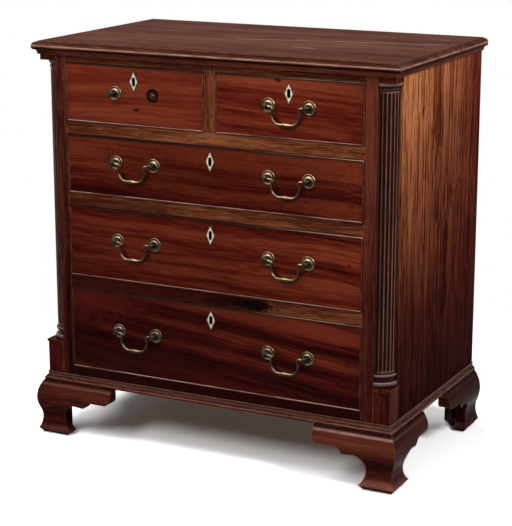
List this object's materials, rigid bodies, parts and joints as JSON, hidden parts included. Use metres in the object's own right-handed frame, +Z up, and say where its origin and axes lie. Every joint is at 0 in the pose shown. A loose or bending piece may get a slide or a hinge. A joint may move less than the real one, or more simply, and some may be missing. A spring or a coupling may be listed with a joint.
{
  "type": "chest of drawers",
  "caption": "Mahogany chest of drawers with a moulded top, fluted quarter columns, cockbeaded graduated drawers, brass bail handles and ogee bracket feet.",
  "frame": {"origin": "on the floor at the middle of the chest's width and depth", "axes": "+Z up, the front faces -Y, +X to the right seen from the front"},
  "size_m": [0.8, 0.47, 0.813],
  "materials": {
    "top_mahogany": "faded wax polish",
    "case_mahogany": "worn wax polish",
    "rail_mahogany": "worn wax polish",
    "column_mahogany": "dark wax polish",
    "drawer_mahogany": "worn wax polish",
    "oak": "bare aged timber",
    "brass": "dull antique patina",
    "iron": "dull",
    "bone": "satin"
  },
  "bodies": {
    "carcass": {"top_board": "top_mahogany", "bed_moulding": "case_mahogany", "side_left": "case_mahogany", "side_right": "case_mahogany", "back_boards": "oak", "case_bottom": "oak", "corner_posts": "case_mahogany", "front_rails": "rail_mahogany", "column_left": "column_mahogany", "column_right": "column_mahogany", "corner_blocks": "case_mahogany", "base_moulding": "case_mahogany", "foot_front_left": "case_mahogany", "foot_front_right": "case_mahogany", "foot_rear_left": "case_mahogany", "foot_rear_right": "case_mahogany", "runners_and_guides": "oak", "dustboards": "oak"},
    "short_left_drawer": {"short_left_drawer_front": "drawer_mahogany", "short_left_drawer_box": "oak", "short_left_cockbead": "drawer_mahogany", "short_left_escutcheon": "bone", "short_left_handle_posts": "brass", "short_left_lock": "iron"},
    "short_right_drawer": {"short_right_drawer_front": "drawer_mahogany", "short_right_drawer_box": "oak", "short_right_cockbead": "drawer_mahogany", "short_right_escutcheon": "bone", "short_right_handle_posts": "brass", "short_right_lock": "iron"},
    "upper_drawer": {"upper_drawer_front": "drawer_mahogany", "upper_drawer_box": "oak", "upper_cockbead": "drawer_mahogany", "upper_escutcheon": "bone", "upper_handle_posts": "brass", "upper_lock": "iron"},
    "middle_drawer": {"middle_drawer_front": "drawer_mahogany", "middle_drawer_box": "oak", "middle_cockbead": "drawer_mahogany", "middle_escutcheon": "bone", "middle_handle_posts": "brass", "middle_lock": "iron"},
    "lower_drawer": {"lower_drawer_front": "drawer_mahogany", "lower_drawer_box": "oak", "lower_cockbead": "drawer_mahogany", "lower_escutcheon": "bone", "lower_handle_posts": "brass", "lower_lock": "iron"},
    "short_left_lock_bolt": {"short_left_lock_bolt": "iron"},
    "short_right_lock_bolt": {"short_right_lock_bolt": "iron"},
    "upper_lock_bolt": {"upper_lock_bolt": "iron"},
    "middle_lock_bolt": {"middle_lock_bolt": "iron"},
    "lower_lock_bolt": {"lower_lock_bolt": "iron"},
    "short_right_bail": {"short_right_bail": "brass"},
    "upper_left_bail": {"upper_left_bail": "brass"},
    "upper_right_bail": {"upper_right_bail": "brass"},
    "middle_left_bail": {"middle_left_bail": "brass"},
    "middle_right_bail": {"middle_right_bail": "brass"},
    "lower_left_bail": {"lower_left_bail": "brass"},
    "lower_right_bail": {"lower_right_bail": "brass"}
  },
  "joints": [
    {"name": "short_left_drawer_slide", "type": "slide", "parent": "carcass", "child": "short_left_drawer", "axis": [0, -1, 0], "range_m": [0, 0.3]},
    {"name": "short_right_drawer_slide", "type": "slide", "parent": "carcass", "child": "short_right_drawer", "axis": [0, -1, 0], "range_m": [0, 0.3]},
    {"name": "upper_drawer_slide", "type": "slide", "parent": "carcass", "child": "upper_drawer", "axis": [0, -1, 0], "range_m": [0, 0.3]},
    {"name": "middle_drawer_slide", "type": "slide", "parent": "carcass", "child": "middle_drawer", "axis": [0, -1, 0], "range_m": [0, 0.3]},
    {"name": "lower_drawer_slide", "type": "slide", "parent": "carcass", "child": "lower_drawer", "axis": [0, -1, 0], "range_m": [0, 0.3]},
    {"name": "short_left_bolt_slide", "type": "slide", "parent": "short_left_drawer", "child": "short_left_lock_bolt", "axis": [0, 0, 1], "range_m": [0, 0.008]},
    {"name": "short_right_bolt_slide", "type": "slide", "parent": "short_right_drawer", "child": "short_right_lock_bolt", "axis": [0, 0, 1], "range_m": [0, 0.008]},
    {"name": "upper_bolt_slide", "type": "slide", "parent": "upper_drawer", "child": "upper_lock_bolt", "axis": [0, 0, 1], "range_m": [0, 0.008]},
    {"name": "middle_bolt_slide", "type": "slide", "parent": "middle_drawer", "child": "middle_lock_bolt", "axis": [0, 0, 1], "range_m": [0, 0.008]},
    {"name": "lower_bolt_slide", "type": "slide", "parent": "lower_drawer", "child": "lower_lock_bolt", "axis": [0, 0, 1], "range_m": [0, 0.008]},
    {"name": "short_right_bail_hinge", "type": "hinge", "parent": "short_right_drawer", "child": "short_right_bail", "pos_m": [0.16625, -0.2295, 0.72], "axis": [-1, 0, 0], "range_deg": [-17, 197]},
    {"name": "upper_left_bail_hinge", "type": "hinge", "parent": "upper_drawer", "child": "upper_left_bail", "pos_m": [-0.1665, -0.2295, 0.583], "axis": [-1, 0, 0], "range_deg": [-17, 197]},
    {"name": "upper_right_bail_hinge", "type": "hinge", "parent": "upper_drawer", "child": "upper_right_bail", "pos_m": [0.1665, -0.2295, 0.583], "axis": [-1, 0, 0], "range_deg": [-17, 197]},
    {"name": "middle_left_bail_hinge", "type": "hinge", "parent": "middle_drawer", "child": "middle_left_bail", "pos_m": [-0.1665, -0.2295, 0.4255], "axis": [-1, 0, 0], "range_deg": [-17, 197]},
    {"name": "middle_right_bail_hinge", "type": "hinge", "parent": "middle_drawer", "child": "middle_right_bail", "pos_m": [0.1665, -0.2295, 0.4255], "axis": [-1, 0, 0], "range_deg": [-17, 197]},
    {"name": "lower_left_bail_hinge", "type": "hinge", "parent": "lower_drawer", "child": "lower_left_bail", "pos_m": [-0.1665, -0.2295, 0.239], "axis": [-1, 0, 0], "range_deg": [-17, 197]},
    {"name": "lower_right_bail_hinge", "type": "hinge", "parent": "lower_drawer", "child": "lower_right_bail", "pos_m": [0.1665, -0.2295, 0.239], "axis": [-1, 0, 0], "range_deg": [-17, 197]}
  ]
}
